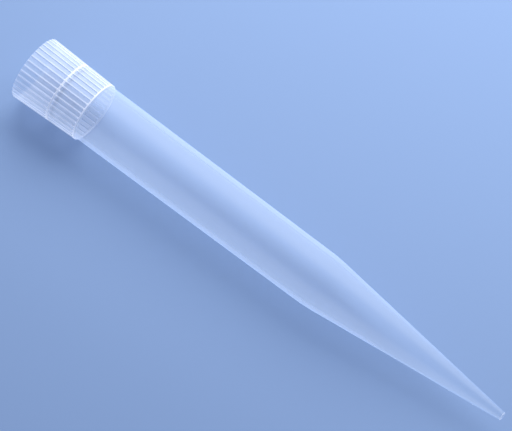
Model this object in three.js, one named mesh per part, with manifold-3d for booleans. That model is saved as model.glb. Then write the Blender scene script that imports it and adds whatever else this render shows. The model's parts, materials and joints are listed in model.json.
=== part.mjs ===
// Pipette tip of the 10 mL class, moulded in one piece from natural polypropylene.
//
// A ribbed collar grips the rack and the hand, and its socket pushes onto the pipette's shaft. Below
// it runs a long, slightly tapered barrel, then a straight cone down to a fine orifice. The wall is
// thin all the way, and one hollow runs through from the mouth to the orifice.
//
// Millimetres, +Z up. The tip is shaped along its own axis, with the mouth at station 0, and is then
// laid down as it comes to rest on a table: on two ribs at the mouth and on the shoulder where the
// barrel turns into the cone. +X runs from the mouth to the orifice, and the origin is on the table
// under the middle of the tip.

import * as THREE from 'three';
import { mergeVertices } from 'three/addons/utils/BufferGeometryUtils.js';
import Module from 'manifold-3d';

// Stations along the axis, counted from the mouth.
const LENGTH = 153;
const COLLAR_END = 20.5;
const SHOULDER = 94.6;

// Outside radii.
const MOUTH_RADIUS = 9.1; // over the ribs
const COLLAR_END_RADIUS = 8.46; // over the ribs
const BARREL_TOP_RADIUS = 8.05;
const SHOULDER_RADIUS = 7.63;
const POINT_RADIUS = 1.1;

// The socket that takes the pipette's shaft, with a lead-in at the mouth and a ledge at its floor.
const SOCKET_MOUTH_RADIUS = 7.7;
const SOCKET_FLOOR_RADIUS = 7.6;
const SOCKET_DEPTH = 11.9;
const LEDGE_LENGTH = 0.9;
const LEAD_IN = 0.35;

// The hollow below the socket.
const BARREL_BORE_RADIUS = 7.2;
const BARREL_WALL = 0.85; // at the shoulder
const ORIFICE_RADIUS = 0.7;

// Ribs, one every ten degrees round the collar. Each has straight flanks and a round crown.
const RIB_COUNT = 36;
const RIB_HEIGHT = 0.25;
const RIB_ROOT_WIDTH = 0.54;
const RIB_CROWN_WIDTH = 0.45;
const RIB_CROWN_HEIGHT = 0.12;
const RIB_ROOT_DEPTH = 0.5; // how far a rib reaches into the wall that it is joined to
const RIB_CHAMFER = 0.22; // at the mouth

// The ring that crosses the ribs halfway down, and the rim that joins their lower ends.
const RING_STATION = 11.25;
const RING_HEIGHT = 0.2;
const RING_LENGTH = 0.7;
const RIM_HEIGHT = 0.26;
const RIM_LENGTH = 0.5;
const RIM_CHAMFER = 0.35;

// How far the corners are eased.
const LIP_EASE = 0.3;
const SHOULDER_EASE = 3;
const POINT_EASE = 0.12;
const BEAD_SIDE = 0.15; // length of the slope on each side of the ring and the rim

// Roundness. Each rib stands on the edge between two facets, and one facet faces straight down.
const FACETS = RIB_COUNT;
const FACET_ANGLE = (2 * Math.PI) / FACETS;
const EASE_STEPS = 3;
const CROWN_STEPS = 3;

// Resting on a table.
const BALANCE_STATION = 57;
const RESTING_PASSES = 5;

const wasm = await Module();
wasm.setup();

// ---- The tapers ----

const COLLAR_TAPER = (MOUTH_RADIUS - COLLAR_END_RADIUS) / COLLAR_END;

const ribTopRadius = (station) => MOUTH_RADIUS - COLLAR_TAPER * station;
const collarRadius = (station) => ribTopRadius(station) - RIB_HEIGHT; // between the ribs

// ---- Solids from three.js geometry ----

// A closed three.js geometry as a solid. Facets that a lathe folds flat on its axis are dropped.
function solidFrom(geometry) {
  geometry.deleteAttribute('normal');
  geometry.deleteAttribute('uv');
  const merged = mergeVertices(geometry, 1e-4);
  const index = merged.index.array;
  const triVerts = [];
  for (let i = 0; i < index.length; i += 3) {
    const [a, b, c] = index.slice(i, i + 3);
    if (a !== b && b !== c && c !== a) triVerts.push(a, b, c);
  }
  return new wasm.Manifold(new wasm.Mesh({
    numProp: 3,
    vertProperties: merged.attributes.position.array,
    triVerts: new Uint32Array(triVerts),
  }));
}

// A solid back as a three.js geometry, with flat facets.
function geometryFrom(solid) {
  const { vertProperties, triVerts } = solid.getMesh();
  const shared = new THREE.BufferGeometry();
  shared.setAttribute('position', new THREE.BufferAttribute(vertProperties, 3));
  shared.setIndex(new THREE.BufferAttribute(triVerts, 1));
  const geometry = shared.toNonIndexed();
  geometry.computeVertexNormals();
  return geometry;
}

// A corner of a profile, eased by a curve that starts and ends that far from it.
const corner = (station, radius, ease = 0) => ({ point: new THREE.Vector2(radius, station), ease });

// The closed line through the corners. It runs down the outside from the mouth and back up inside.
function profileThrough(corners) {
  const path = new THREE.Path();
  corners.forEach(({ point, ease }, i) => {
    const towards = (other) => {
      const step = other.clone().sub(point).setLength(ease);
      return step.add(point);
    };
    const entry = towards(corners.at(i - 1).point);
    const exit = towards(corners[(i + 1) % corners.length].point);
    if (i === 0) path.moveTo(entry.x, entry.y);
    else path.lineTo(entry.x, entry.y);
    if (ease > 0) path.quadraticCurveTo(point.x, point.y, exit.x, exit.y);
  });
  path.closePath();
  return path.getPoints(EASE_STEPS);
}

// The solid that the corners sweep round the tip's axis, which lies along +X.
function turned(corners) {
  const geometry = new THREE.LatheGeometry(profileThrough(corners), FACETS, FACET_ANGLE / 2);
  geometry.rotateZ(-Math.PI / 2);
  return solidFrom(geometry);
}

// ---- The tip ----

// A low bead round the collar: up one slope, along its crest and down the other.
function bead(station, length, height) {
  const start = station - length / 2;
  const end = station + length / 2;
  return [
    corner(start, collarRadius(start)),
    corner(start + BEAD_SIDE, collarRadius(start) + height),
    corner(end - BEAD_SIDE, collarRadius(end) + height),
    corner(end, collarRadius(end)),
  ];
}

// The wall of the whole tip, without the ribs, turned in one go.
function wall() {
  const rimStart = COLLAR_END - RIM_CHAMFER - RIM_LENGTH;
  const rimEnd = COLLAR_END - RIM_CHAMFER;
  const outside = [
    corner(0, collarRadius(0), LIP_EASE),
    ...bead(RING_STATION, RING_LENGTH, RING_HEIGHT),
    corner(rimStart, collarRadius(rimStart)),
    corner(rimStart + BEAD_SIDE, collarRadius(rimStart) + RIM_HEIGHT),
    corner(rimEnd, collarRadius(rimEnd) + RIM_HEIGHT),
    corner(COLLAR_END, BARREL_TOP_RADIUS),
    corner(SHOULDER, SHOULDER_RADIUS, SHOULDER_EASE),
    corner(LENGTH, POINT_RADIUS, POINT_EASE),
  ];
  const inside = [
    corner(LENGTH, ORIFICE_RADIUS),
    corner(SHOULDER, SHOULDER_RADIUS - BARREL_WALL, SHOULDER_EASE),
    corner(SOCKET_DEPTH + LEDGE_LENGTH, BARREL_BORE_RADIUS),
    corner(SOCKET_DEPTH, SOCKET_FLOOR_RADIUS),
    corner(LEAD_IN, SOCKET_MOUTH_RADIUS),
    corner(0, SOCKET_MOUTH_RADIUS + LEAD_IN),
  ];
  return turned([...outside, ...inside]);
}

// The section of a rib, with the top of its crown at the origin.
function ribSection() {
  const root = RIB_ROOT_WIDTH / 2;
  const crown = RIB_CROWN_WIDTH / 2;
  const foot = -RIB_HEIGHT - RIB_ROOT_DEPTH;
  const section = new THREE.Shape();
  section.moveTo(-root, foot);
  section.lineTo(root, foot);
  section.lineTo(crown, -RIB_CROWN_HEIGHT);
  section.absellipse(0, -RIB_CROWN_HEIGHT, crown, RIB_CROWN_HEIGHT, 0, Math.PI);
  section.closePath();
  return section;
}

// One rib, standing on top of the collar and following its taper from the mouth into the rim.
function rib() {
  const length = COLLAR_END - RIM_CHAMFER - RIM_LENGTH / 2;
  const blade = new THREE.ExtrudeGeometry(ribSection(), {
    depth: length + RIB_CHAMFER,
    bevelEnabled: false,
    curveSegments: CROWN_STEPS,
  });
  const across = new THREE.Vector3(0, 1, 0);
  const upwards = new THREE.Vector3(0, 0, 1);
  const along = new THREE.Vector3(1, 0, 0);
  blade.translate(0, 0, -RIB_CHAMFER);
  blade.applyMatrix4(new THREE.Matrix4().makeBasis(across, upwards, along));
  blade.rotateY(Math.atan(COLLAR_TAPER));
  blade.translate(0, 0, MOUTH_RADIUS);
  return blade;
}

// All the ribs round the collar, with their ends chamfered at the mouth.
function ribs() {
  const pitch = (2 * Math.PI) / RIB_COUNT;
  const first = rib().rotateX(pitch / 2);
  const standing = [];
  for (let i = 0; i < RIB_COUNT; i += 1) {
    standing.push(solidFrom(first.clone().rotateX(i * pitch)));
  }
  return wasm.Manifold.union(standing).intersect(ribEnvelope());
}

// The space that the ribs may fill: it clears their crowns and chamfers their ends at the mouth.
function ribEnvelope() {
  const clearance = 0.05;
  return turned([
    corner(0, 0),
    corner(0, MOUTH_RADIUS - RIB_CHAMFER),
    corner(RIB_CHAMFER + clearance, MOUTH_RADIUS + clearance),
    corner(COLLAR_END, COLLAR_END_RADIUS + clearance),
    corner(COLLAR_END, 0),
  ]);
}

// ---- Laying it down ----

// The tilt at which the tip rests. The line that it rests on passes under the balance point and
// touches the collar on one side of it and the shoulder on the other, so its slope is found by
// picking the two lowest points against the last slope, until they stay the same.
function restingTilt(geometry) {
  const points = geometry.getAttribute('position');
  let slope = 0;
  for (let pass = 0; pass < RESTING_PASSES; pass += 1) {
    const lowest = { mouthward: null, pointward: null };
    for (let i = 0; i < points.count; i += 1) {
      const here = { x: points.getX(i), z: points.getZ(i) };
      const side = here.x < BALANCE_STATION ? 'mouthward' : 'pointward';
      const best = lowest[side];
      if (!best || here.z - best.z < slope * (here.x - best.x)) lowest[side] = here;
    }
    const { mouthward, pointward } = lowest;
    slope = (pointward.z - mouthward.z) / (pointward.x - mouthward.x);
  }
  return Math.atan(slope);
}

const geometry = geometryFrom(wall().add(ribs()));
geometry.rotateY(restingTilt(geometry));
geometry.computeBoundingBox();

const polypropylene = new THREE.MeshStandardMaterial({
  color: 0xc9d6e6,
  roughness: 0.3,
  metalness: 0,
  transparent: true,
  opacity: 0.55,
});

const tip = new THREE.Mesh(geometry, polypropylene);
tip.name = 'pipette_tip';
const { min, max } = geometry.boundingBox;
tip.position.set(-(min.x + max.x) / 2, 0, -min.z);

const part = new THREE.Group();
part.add(tip);

export default part;
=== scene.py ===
"""Looks for the pipette tip: a fine mesh of the moulding, its milky polypropylene, and the studio."""

import json
import math

import bpy
import numpy as np
from mathutils import Matrix, Vector


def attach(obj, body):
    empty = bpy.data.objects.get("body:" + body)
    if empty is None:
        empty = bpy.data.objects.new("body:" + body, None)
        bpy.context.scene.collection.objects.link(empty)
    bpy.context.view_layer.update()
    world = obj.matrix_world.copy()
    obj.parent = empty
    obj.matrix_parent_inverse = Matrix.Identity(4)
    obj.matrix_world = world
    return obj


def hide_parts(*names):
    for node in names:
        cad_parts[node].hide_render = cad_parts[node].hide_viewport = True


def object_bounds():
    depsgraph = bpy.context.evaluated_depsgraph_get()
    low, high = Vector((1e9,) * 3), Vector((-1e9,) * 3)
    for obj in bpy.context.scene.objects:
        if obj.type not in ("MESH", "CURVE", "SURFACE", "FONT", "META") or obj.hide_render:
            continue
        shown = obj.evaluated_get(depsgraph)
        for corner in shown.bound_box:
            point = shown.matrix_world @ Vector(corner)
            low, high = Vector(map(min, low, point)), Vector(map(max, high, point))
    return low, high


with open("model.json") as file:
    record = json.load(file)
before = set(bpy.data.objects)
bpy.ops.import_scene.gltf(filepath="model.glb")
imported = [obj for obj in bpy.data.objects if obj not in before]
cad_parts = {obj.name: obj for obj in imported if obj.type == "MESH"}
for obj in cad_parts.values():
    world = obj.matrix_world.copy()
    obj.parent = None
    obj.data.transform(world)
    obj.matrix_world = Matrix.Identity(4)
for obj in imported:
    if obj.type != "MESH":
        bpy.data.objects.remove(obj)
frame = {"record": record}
cad_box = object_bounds()

NODE = "pipette_tip"
SLOT = "natural_polypropylene"
MM = 0.001
TINY = 1e-6                # too small to matter, and enough to settle a tie

# ---- The tip's dimensions, in millimetres. Stations are counted from the mouth. ----

LENGTH = 153.0
COLLAR_END = 20.5
SHOULDER = 94.6
MOUTH_RADIUS = 9.1         # over the ribs
COLLAR_END_RADIUS = 8.46   # over the ribs
BARREL_TOP_RADIUS = 8.05
SHOULDER_RADIUS = 7.63
POINT_RADIUS = 1.1

SOCKET_MOUTH_RADIUS = 7.7
SOCKET_FLOOR_RADIUS = 7.6
SOCKET_DEPTH = 11.9
LEDGE_LENGTH = 0.9
LEAD_IN = 0.35
BARREL_BORE_RADIUS = 7.2
SHOULDER_WALL = 0.85
ORIFICE_RADIUS = 0.7

RIB_COUNT = 36
RIB_HEIGHT = 0.25
RIB_CROWN = 0.24           # width of the nearly flat top of a rib
RIB_FOOT = 0.62            # width where a rib has run out into the wall
RIB_CHAMFER = 0.22
RING_STATION = 11.25
RING_HEIGHT = 0.2
RING_LENGTH = 0.7
RIM_HEIGHT = 0.26
RIM_LENGTH = 0.5
RIM_CHAMFER = 0.35
BEAD_SIDE = 0.15           # length of the sloping side of the ring and the rim

LIP_EASE = 0.3
SHOULDER_EASE = 3.0
POINT_EASE = 0.12
SHARP_EASE = 0.06          # the least rounding that a mould leaves on a corner
CREST_BLEND = 0.02         # how softly a rib's top meets the ring and the rim

COLLAR_TAPER = (MOUTH_RADIUS - COLLAR_END_RADIUS) / COLLAR_END
RIM_END = COLLAR_END - RIM_CHAMFER
RIM_START = RIM_END - RIM_LENGTH

# ---- How finely the mesh is divided ----

EASE_STEPS = 4
GUARD = 0.12               # distance in mm of the extra row that keeps a flat run flat
LONGEST_RUN = 12.0         # mm between two rows

# Angles round one rib, as parts of half a pitch: close together over the rib's flanks.
RIB_ANGLES = (0.0, 0.12, 0.19, 0.25, 0.31, 0.37, 0.44, 0.62, 1.0)

# ---- The plastic. Haze is an optical depth: a wall of haze 1 leaves 1/e of the light as it was. ----

BARREL_HAZE_PER_MM = 0.2   # per mm of the wall's thickness
COLLAR_HAZE_PER_MM = 0.38  # the same, on the collar
WAY_HAZE_PER_MM = 0.06     # on top, per mm of the light's own way through the wall
RIB_HAZE = 0.45            # on top, at a rib's crown
BEAD_HAZE = 1.4            # on top, on the ring and the rim
FAR_HAZE = 0.12            # the most that a rib or bead adds on the far side of the hollow
POINT_HAZE = 0.8           # on top, at the cut end of the point
LEDGE_SHADE = 0.3          # painted shade: how much the ledge darkens what is seen through it, in place of the dark line that its refraction gives

BEAD_FULL_AT = 0.5         # the part of a rib's height at which a bead has its full haze
LEDGE_SHADE_LEAD = 0.1     # mm of the socket's wall, before the ledge, that gets the painted shade too
POINT_HAZE_REACH = 1.2 * POINT_EASE
COLLAR_MARGIN = 0.01       # mm over the barrel's radius from which a wall counts as the collar's
MOST_BORE = 0.995          # the largest share of the radius that the hollow may take

MILK = (0.74, 0.84, 1.0, 1.0)
THICK_MILK = (0.97, 0.96, 1.0, 1.0)
COLLAR_WHITENESS = 0.45    # how far the collar's milk is from MILK to THICK_MILK
GLOW_SHARE = 0.46          # part of the milk's light that comes out on the other side
MILK_GLOSS = 0.2
GLOSS = 0.11
GLOSS_SHARE = 0.8
ROUGHNESS = 0.3
IOR = 1.49
BLACK = (0.0, 0.0, 0.0, 1.0)
EVEN_BLEND = 0.5           # with it, a Layer Weight's Facing is 1 less the cosine of the angle

STREAK_SCALE = (14.0, 420.0, 420.0)
STREAK_DETAIL = 3.0
STREAK_NOISE = (0.3, 0.7)  # values of the noise that give the thinnest and the densest milk
STREAK_MILK = (0.92, 1.08)  # factors on the haze there

# ---- The studio, in metres ----

FLOOR_HALF = 3.0
FLOOR_GAP = 0.00002        # keeps the floor's face from lying in the ribs' faces
FLOOR_COLOUR = (0.2, 0.29, 0.48, 1.0)
FLOOR_ROUGHNESS = 0.9

# The photograph's viewing angle and framing.
AZIMUTH = math.radians(38.807)
ELEVATION = math.radians(66.165)
DISTANCE = 1.59439
AIM_RIGHT = -0.002383
AIM_UP = 0.005708
LENS_MM = 440.815
SENSOR_MM = 36.0
FARTHEST = 20.0

KEY_PLACE = (-0.08, 0.27, 0.30)
KEY_SIZE = (0.55, 0.3)
KEY_POWER = 3.2
KEY_COLOUR = (1.0, 1.0, 0.98)
EDGE_PLACE = (0.0, 0.45, 0.10)
EDGE_SIZE = (0.5, 0.12)
EDGE_POWER = 0.75
EDGE_COLOUR = (1.0, 1.0, 1.0)
WORLD_COLOUR = (0.5, 0.67, 1.0, 1.0)
WORLD_STRENGTH = 0.43


# ---- Section of the wall, as rows of (station, radius) ----

def rib_top(station):
    """Radius of the collar over the ribs."""
    return MOUTH_RADIUS - COLLAR_TAPER * station


def valley(station):
    """Radius of the collar between the ribs."""
    return rib_top(station) - RIB_HEIGHT


def unit(vector):
    return vector / np.linalg.norm(vector)


def eased_corner(before, corner, after, ease):
    """Rows of the small curve that stands in for one corner."""
    start = corner + unit(before - corner) * ease
    stop = corner + unit(after - corner) * ease
    parts = [step / EASE_STEPS for step in range(EASE_STEPS + 1)]
    return [(1 - t) ** 2 * start + 2 * t * (1 - t) * corner + t ** 2 * stop for t in parts]


def straight_rows(start, direction, run):
    """Rows inside a straight run: one near each end, and the rest evenly between them."""
    if run <= 4 * GUARD:
        return []
    between = run - 2 * GUARD
    pieces = math.ceil(between / LONGEST_RUN)
    return [start + direction * (GUARD + between * k / pieces) for k in range(pieces + 1)]


def eased_loop(corners):
    """Rows of a closed profile through corners of (station, radius, ease)."""
    rows = []
    places = [np.array(corner[:2]) for corner in corners]
    eases = [corner[2] for corner in corners]
    for i, place in enumerate(places):
        following = (i + 1) % len(places)
        onward = places[following] - place
        rows += eased_corner(places[i - 1], place, places[following], eases[i])
        run = np.linalg.norm(onward) - eases[i] - eases[following]
        rows += straight_rows(rows[-1], unit(onward), run)
    return np.array(rows)


def bead(start, end, height):
    """Corners of a low bead round the collar."""
    return [
        (start, valley(start), SHARP_EASE),
        (start + BEAD_SIDE, valley(start) + height, SHARP_EASE),
        (end - BEAD_SIDE, valley(end) + height, SHARP_EASE),
        (end, valley(end), SHARP_EASE),
    ]


def profile():
    """Rows of the wall's section: down the outside from the mouth, and back up inside."""
    outside = [
        (0.0, valley(0.0), LIP_EASE),
        *bead(RING_STATION - RING_LENGTH / 2, RING_STATION + RING_LENGTH / 2, RING_HEIGHT),
        (RIM_START, valley(RIM_START), SHARP_EASE),
        (RIM_START + BEAD_SIDE, valley(RIM_START) + RIM_HEIGHT, SHARP_EASE),
        (RIM_END, valley(RIM_END) + RIM_HEIGHT, SHARP_EASE),
        (COLLAR_END, BARREL_TOP_RADIUS, SHARP_EASE),
        (SHOULDER, SHOULDER_RADIUS, SHOULDER_EASE),
        (LENGTH, POINT_RADIUS, POINT_EASE),
    ]
    inside = [
        (LENGTH, ORIFICE_RADIUS, SHARP_EASE),
        (SHOULDER, SHOULDER_RADIUS - SHOULDER_WALL, SHOULDER_EASE),
        (SOCKET_DEPTH + LEDGE_LENGTH, BARREL_BORE_RADIUS, SHARP_EASE),
        (SOCKET_DEPTH, SOCKET_FLOOR_RADIUS, SHARP_EASE),
        (LEAD_IN, SOCKET_MOUTH_RADIUS, SHARP_EASE),
        (0.0, SOCKET_MOUTH_RADIUS + LEAD_IN, SHARP_EASE),
    ]
    return eased_loop(outside + inside)


def crest(rows):
    """The same rows where a rib stands: its top, chamfered at the mouth, over all but the rim."""
    station, radius = rows.T
    top = np.minimum(rib_top(station), MOUTH_RADIUS - RIB_CHAMFER + station)
    apart = np.sqrt((radius - top) ** 2 + CREST_BLEND ** 2)
    raised = 0.5 * (radius + top + apart) - CREST_BLEND / 2
    above_wall = radius > valley(station) - LIP_EASE - TINY
    on_collar = above_wall & (station < RIM_START + BEAD_SIDE)
    crested = rows.copy()
    crested[on_collar, 1] = np.maximum(radius, raised)[on_collar]
    return crested


def outer_half(rows):
    """True for the rows on the outside of the wall, False for those in the hollow."""
    last = int(np.argmax(rows[:, 0] + rows[:, 1] * TINY))
    return np.arange(len(rows)) <= last


def plain_normals(rows):
    """The wall's normals without the ribs, as shares along the axis and away from it."""
    tangent = np.roll(rows, -1, axis=0) - np.roll(rows, 1, axis=0)
    normal = np.stack([-tangent[:, 1], tangent[:, 0]], axis=1)
    return normal / np.linalg.norm(normal, axis=1, keepdims=True)


# ---- Mesh: the rows, turned round the axis ----

def rib_angles():
    """Angles round the axis, and how far up a rib's side each stands, from 0 to 1."""
    half_pitch = math.pi / RIB_COUNT
    side = np.array(RIB_ANGLES)
    around = np.concatenate([-side[:0:-1], side[:-1]]) * half_pitch
    angles = np.concatenate([around + half_pitch * (2 * i + 1) for i in range(RIB_COUNT)])
    across = np.abs(np.tile(around, RIB_COUNT)) * (MOUTH_RADIUS - RIB_HEIGHT)
    down = np.clip((across - RIB_CROWN / 2) / (RIB_FOOT / 2 - RIB_CROWN / 2), 0, 1)
    return angles, 1 - down * down * (3 - 2 * down)


def relief_haze(rows, grid, outside):
    """Haze of the ribs, the ring, the rim and the cut end. The ledge's is below 0: painted shade, in
    place of the dark line that the ledge's refraction gives.
    """
    station = rows[:, 0]
    raised = np.clip((grid[..., 1] - valley(grid[..., 0])) / RIB_HEIGHT, 0, 1)
    raised *= (outside & (station < RIM_END))[:, None]
    on_ring = np.abs(station - RING_STATION) < RING_LENGTH / 2 + SHARP_EASE
    on_rim = np.abs(station - (RIM_START + RIM_END) / 2) < RIM_LENGTH / 2 + SHARP_EASE
    on_bead = outside & (on_ring | on_rim)
    bead_haze = BEAD_HAZE * np.minimum(raised / BEAD_FULL_AT, 1)
    haze = np.where(on_bead[:, None], bead_haze, RIB_HAZE * raised ** 2)
    past_socket = station > SOCKET_DEPTH - LEDGE_SHADE_LEAD
    on_ledge = ~outside & past_socket & (station < SOCKET_DEPTH + LEDGE_LENGTH / 2)
    at_cut_end = station > LENGTH - POINT_HAZE_REACH
    return haze - on_ledge[:, None] * LEDGE_SHADE + at_cut_end[:, None] * POINT_HAZE


def wall_facts(rows, grid):
    """What the material has to know at each point: the wall's outer radius in mm (0 in the hollow),
    the square of the share of it that the hollow takes, and the haze of the relief."""
    outside = outer_half(rows)
    station, radius = rows.T
    order = np.argsort(station[~outside], kind="stable")
    bore = np.interp(station, station[~outside][order], radius[~outside][order])
    facts = np.empty(grid.shape[:2] + (3,))
    facts[..., 0] = np.where(outside, radius, 0.0)[:, None]
    facts[..., 1] = (np.minimum(bore / radius, MOST_BORE) ** 2)[:, None]
    facts[..., 2] = relief_haze(rows, grid, outside)
    return facts


def grid_faces(row_count, angle_count):
    """Four-sided faces of a grid that closes on itself both ways."""
    faces = []
    for i in range(row_count):
        here = i * angle_count
        below = (i + 1) % row_count * angle_count
        for k in range(angle_count):
            m = (k + 1) % angle_count
            faces.append((here + k, below + k, below + m, here + m))
    return faces


def store_attribute(mesh, name, values):
    """Keep one vector for each point of the mesh."""
    layer = mesh.attributes.new(name, "FLOAT_VECTOR", "POINT")
    layer.data.foreach_set("vector", np.ascontiguousarray(values, np.float32).ravel())


def tip_mesh(mouth, along):
    """The closed wall as one grid of rows by angles, laid along the tip's axis."""
    rows = profile()
    angles, height = rib_angles()
    grid = rows[:, None, :] + (crest(rows) - rows)[:, None, :] * height[None, :, None]
    across = Vector((0.0, 1.0, 0.0))
    upwards = along.cross(across)
    angles = angles[None, :, None]
    outwards = np.cos(angles) * np.array(upwards) + np.sin(angles) * np.array(across)
    station, radius = grid[..., 0:1] * MM, grid[..., 1:2] * MM
    points = np.array(mouth) + station * np.array(along) + radius * outwards
    mesh = bpy.data.meshes.new("pipette_tip_moulding")
    mesh.from_pydata(points.reshape(-1, 3).tolist(), [], grid_faces(*points.shape[:2]))
    mesh.polygons.foreach_set("use_smooth", [True] * len(mesh.polygons))
    normals = plain_normals(rows)[:, None, :]
    store_attribute(mesh, "wall", wall_facts(rows, grid))
    store_attribute(
        mesh, "plain_normal", normals[..., 0:1] * np.array(along) + normals[..., 1:2] * outwards
    )
    return mesh


# ---- Materials ----

# Places of a colour Mix node's sockets, whose names its other sockets share.
MIX_FACTOR, MIX_FIRST, MIX_SECOND = 0, 6, 7
MIX_RESULT = 2


def new_material(name):
    """A new material and its Principled BSDF."""
    material = bpy.data.materials.new(name)
    material.use_nodes = True
    return material, material.node_tree.nodes["Principled BSDF"]


def feed(tree, node, inputs):
    """Fill a node's inputs, by name or place, with fixed values or with other nodes' outputs."""
    for name, value in inputs.items():
        if isinstance(value, bpy.types.NodeSocket):
            tree.links.new(value, node.inputs[name])
        else:
            node.inputs[name].default_value = value


def new_node(tree, kind, inputs):
    """A new node with its inputs filled."""
    node = tree.nodes.new(kind)
    feed(tree, node, inputs)
    return node


def math_node(tree, operation, *values):
    """The outcome of one operation on numbers and other nodes' outputs."""
    node = tree.nodes.new("ShaderNodeMath")
    node.operation = operation
    feed(tree, node, dict(enumerate(values)))
    return node.outputs[0]


def mixed_shaders(tree, share, first, second):
    """The first shader, with a share of the second in its place."""
    return new_node(tree, "ShaderNodeMixShader", {0: share, 1: first, 2: second}).outputs[0]


def mesh_attribute(tree, name):
    """The vector that the mesh keeps under this name for each of its points."""
    node = tree.nodes.new("ShaderNodeAttribute")
    node.attribute_name = name
    return node.outputs["Vector"]


def streak_factor(tree):
    """A factor on the haze, for faint streaks along the tip."""
    place = tree.nodes.new("ShaderNodeTexCoord").outputs["Object"]
    stretched = new_node(tree, "ShaderNodeMapping", {"Vector": place, "Scale": STREAK_SCALE})
    noise = new_node(tree, "ShaderNodeTexNoise", {
        "Vector": stretched.outputs[0], "Scale": 1.0, "Detail": STREAK_DETAIL,
    })
    factor = new_node(tree, "ShaderNodeMapRange", {
        "Value": noise.outputs["Fac"],
        "From Min": STREAK_NOISE[0], "From Max": STREAK_NOISE[1],
        "To Min": STREAK_MILK[0], "To Max": STREAK_MILK[1],
    })
    return factor.outputs[0]


def seen_relief(tree, relief, outside):
    """The relief's haze in full on the wall before the hollow, and faintly on the wall behind it."""
    leaving = tree.nodes.new("ShaderNodeNewGeometry").outputs["Backfacing"]
    near = math_node(tree, "ABSOLUTE", math_node(tree, "SUBTRACT", outside, leaving))
    most = math_node(tree, "ADD", FAR_HAZE, math_node(tree, "MULTIPLY", near, BEAD_HAZE))
    # the ledge's painted shade (relief below 0) stays on the near wall only
    least = math_node(tree, "MULTIPLY", near, -1.0)
    return math_node(tree, "MAXIMUM", math_node(tree, "MINIMUM", relief, most), least)


def way_through(tree, outer_radius, bore_share):
    """Millimetres of wall on the light's way: half its chord in the wall's outer circle, less half
    its chord in the hollow."""
    angle = new_node(tree, "ShaderNodeLayerWeight", {
        "Blend": EVEN_BLEND, "Normal": mesh_attribute(tree, "plain_normal"),
    })
    cosine = math_node(tree, "SUBTRACT", 1.0, angle.outputs["Facing"])
    squared = math_node(tree, "MULTIPLY", cosine, cosine)
    hollow = math_node(tree, "ADD", bore_share, math_node(tree, "SUBTRACT", squared, 1.0))
    hollow = math_node(tree, "SQRT", math_node(tree, "MAXIMUM", hollow, 0.0))
    return math_node(tree, "MULTIPLY", outer_radius, math_node(tree, "SUBTRACT", cosine, hollow))


def wall_haze(tree, outer_radius, bore_share, on_collar):
    """Haze of the plain wall: by its thickness, by the light's way through it, and by the streaks."""
    thickness = math_node(tree, "SUBTRACT", 1.0, math_node(tree, "SQRT", bore_share))
    thickness = math_node(tree, "MULTIPLY", outer_radius, thickness)
    per_mm = math_node(tree, "MULTIPLY", on_collar, COLLAR_HAZE_PER_MM - BARREL_HAZE_PER_MM)
    per_mm = math_node(tree, "ADD", BARREL_HAZE_PER_MM, per_mm)
    way = way_through(tree, outer_radius, bore_share)
    haze = math_node(tree, "MULTIPLY", thickness, per_mm)
    haze = math_node(tree, "ADD", haze, math_node(tree, "MULTIPLY", way, WAY_HAZE_PER_MM))
    return math_node(tree, "MULTIPLY", haze, streak_factor(tree))


def milk(tree, shader, whiteness):
    """The milk in the plastic, which throws some light back and passes some on."""
    colour = tree.nodes.new("ShaderNodeMix")
    colour.data_type = "RGBA"
    feed(tree, colour, {MIX_FACTOR: whiteness, MIX_FIRST: MILK, MIX_SECOND: THICK_MILK})
    feed(tree, shader, {
        "Base Color": colour.outputs[MIX_RESULT], "Roughness": ROUGHNESS, "IOR": IOR,
        "Specular IOR Level": MILK_GLOSS,
    })
    glow = new_node(tree, "ShaderNodeBsdfTranslucent", {"Color": colour.outputs[MIX_RESULT]})
    return mixed_shaders(tree, GLOW_SHARE, shader.outputs[0], glow.outputs[0])


def with_gloss(tree, wall, outside):
    """The wall with a soft gloss added on its outside."""
    gloss = new_node(tree, "ShaderNodeBsdfPrincipled", {
        "Base Color": BLACK, "Roughness": ROUGHNESS, "IOR": IOR, "Specular IOR Level": GLOSS,
    })
    glossy = new_node(tree, "ShaderNodeAddShader", {0: wall, 1: gloss.outputs[0]})
    share = math_node(tree, "MULTIPLY", outside, GLOSS_SHARE)
    return mixed_shaders(tree, share, wall, glossy.outputs[0])


def polypropylene():
    """Milky plastic: the longer the way through the wall, the more of the light it catches."""
    material, shader = new_material(SLOT)
    tree = material.node_tree
    facts = new_node(tree, "ShaderNodeSeparateXYZ", {0: mesh_attribute(tree, "wall")})
    outer_radius, bore_share, relief = facts.outputs
    outside = math_node(tree, "GREATER_THAN", outer_radius, 0.0)
    on_collar = math_node(tree, "GREATER_THAN", outer_radius, BARREL_TOP_RADIUS + COLLAR_MARGIN)
    relief = seen_relief(tree, relief, outside)
    thicker = math_node(tree, "MAXIMUM", relief, 0.0)
    haze = wall_haze(tree, outer_radius, bore_share, on_collar)
    clear = math_node(tree, "POWER", math.exp(-1), math_node(tree, "ADD", haze, thicker))
    whiteness = math_node(tree, "MULTIPLY", on_collar, COLLAR_WHITENESS)
    whiteness = math_node(tree, "MINIMUM", math_node(tree, "ADD", whiteness, thicker), 1.0)
    # painted shade: relief below 0 darkens the light seen through the ledge
    shade = math_node(tree, "ADD", 1.0, math_node(tree, "MINIMUM", relief, 0.0))
    seen_through = new_node(tree, "ShaderNodeBsdfTransparent", {"Color": shade})
    wall = mixed_shaders(tree, clear, milk(tree, shader, whiteness), seen_through.outputs[0])
    output = tree.nodes["Material Output"]
    feed(tree, output, {"Surface": with_gloss(tree, wall, outside)})
    return material


def floor_material():
    """Plain and pale."""
    material, shader = new_material("floor")
    feed(material.node_tree, shader, {"Base Color": FLOOR_COLOUR, "Roughness": FLOOR_ROUGHNESS})
    return material


# ---- The tip ----

def new_object(name, data):
    """A new object, linked into the scene."""
    thing = bpy.data.objects.new(name, data)
    bpy.context.scene.collection.objects.link(thing)
    return thing


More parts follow.
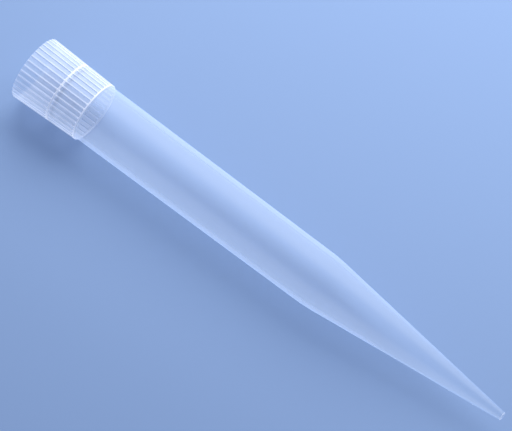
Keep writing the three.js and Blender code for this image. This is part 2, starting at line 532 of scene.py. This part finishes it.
# The mount at the mouth faces out of the tip, so the tip runs the other way from there.
rim_mount = frame["record"]["mounts"][0]
along = -Vector(rim_mount["axis"]).normalized()
mouth = Vector((rim_mount["pos_m"][0], 0.0, rim_mount["pos_m"][2]))

tip = new_object("moulded_tip", tip_mesh(mouth, along))
tip.data.materials.append(polypropylene())
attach(tip, "root")
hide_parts(NODE)

# ---- Floor ----

floor_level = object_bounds()[0][2] - FLOOR_GAP
floor_corners = [(-1, -1), (1, -1), (1, 1), (-1, 1)]
floor_mesh = bpy.data.meshes.new("floor")
floor_mesh.from_pydata(
    [(x * FLOOR_HALF, y * FLOOR_HALF, floor_level) for x, y in floor_corners], [], [(0, 1, 2, 3)]
)
floor = new_object("floor", floor_mesh)
floor.data.materials.append(floor_material())

# ---- Camera ----

back = Vector((
    math.sin(AZIMUTH) * math.cos(ELEVATION),
    -math.cos(AZIMUTH) * math.cos(ELEVATION),
    math.sin(ELEVATION),
))
right = Vector((math.cos(AZIMUTH), math.sin(AZIMUTH), 0.0))
up = back.cross(right)
centre = sum((Vector(corner) for corner in cad_box), Vector()) / 2
stand = centre + right * AIM_RIGHT + up * AIM_UP + back * DISTANCE

camera = new_object("camera", bpy.data.cameras.new("camera"))
camera.data.lens = LENS_MM
camera.data.sensor_width = SENSOR_MM
camera.data.clip_end = FARTHEST
camera.matrix_world = Matrix.Translation(stand) @ Matrix((right, up, back)).transposed().to_4x4()
bpy.context.scene.camera = camera


# ---- Light ----

def softbox(name, place, size, power, colour):
    """A rectangular lamp that faces the origin, which lies under the tip's middle."""
    light = bpy.data.lights.new(name, "AREA")
    light.shape = "RECTANGLE"
    light.size, light.size_y = size
    light.energy = power
    light.color = colour
    turn = Vector(place).normalized().to_track_quat("Z", "Y")
    new_object(name, light).matrix_world = Matrix.Translation(place) @ turn.to_matrix().to_4x4()


softbox("key", KEY_PLACE, KEY_SIZE, KEY_POWER, KEY_COLOUR)
softbox("edge_light", EDGE_PLACE, EDGE_SIZE, EDGE_POWER, EDGE_COLOUR)

world = bpy.data.worlds.new("studio")
world.use_nodes = True
feed(world.node_tree, world.node_tree.nodes["Background"], {
    "Color": WORLD_COLOUR, "Strength": WORLD_STRENGTH,
})
bpy.context.scene.world = world
bpy.context.scene.view_settings.view_transform = "Standard"
